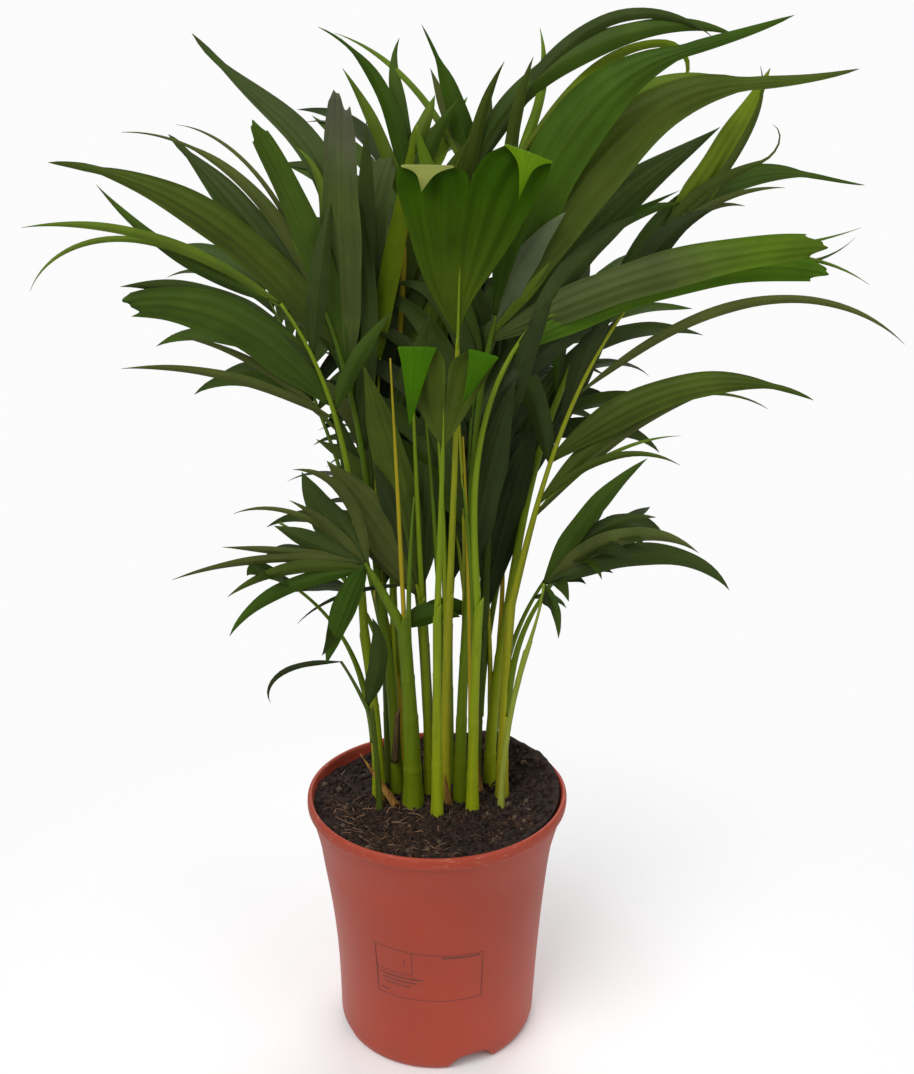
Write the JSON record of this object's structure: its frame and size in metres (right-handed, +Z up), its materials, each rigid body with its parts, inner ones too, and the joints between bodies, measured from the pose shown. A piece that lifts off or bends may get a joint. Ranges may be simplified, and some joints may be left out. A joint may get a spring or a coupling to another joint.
{
  "type": "potted areca palm",
  "caption": "Bushy areca palm in a filled round nursery pot: upright stems rise from the soil and spread into arching feathered fronds.",
  "frame": {"origin": "middle of the pot's flat underside, at the height that the pot stands on", "axes": "+Z up the plant; -Y is its front, the side with the broad two-lobed leaf; +X to the right as seen from the front"},
  "size_m": [0.4936, 0.3464, 0.6412],
  "materials": {
    "pot": "satin",
    "soil": "matte",
    "stem": "satin",
    "leaf": "satin"
  },
  "bodies": {
    "root": {"pot": "pot", "soil": "soil", "cane_a": "stem", "cane_b": "stem", "cane_c": "stem", "cane_d": "stem", "cane_e": "stem", "cane_f": "stem", "cane_g": "stem", "cane_h": "stem", "cane_i": "stem", "cane_j": "stem", "cane_k": "stem", "cane_l": "stem", "cane_m": "stem", "cane_n": "stem", "cane_o": "stem", "cane_p": "stem", "cane_q": "stem", "frond_west_low": "leaf", "frond_west_high": "leaf", "frond_north_west": "leaf", "frond_gold": "leaf", "frond_crown": "leaf", "frond_heart": "leaf", "frond_fold": "leaf", "frond_east_big": "leaf", "frond_arc": "leaf", "frond_north_east": "leaf", "frond_east_high": "leaf", "frond_east_mid": "leaf", "frond_low_east": "leaf", "frond_low_west": "leaf", "frond_diagonal": "leaf", "frond_low_thin": "leaf", "frond_back_tall": "leaf", "frond_back_mid": "leaf", "frond_back_west": "leaf", "frond_back_east": "leaf", "frond_back_low": "leaf", "frond_back_low_west": "leaf", "frond_back_low_east": "leaf", "frond_side_west": "leaf", "frond_side_east": "leaf", "frond_inner_west": "leaf", "frond_inner_east": "leaf", "frond_inner_back": "leaf"}
  },
  "joints": []
}
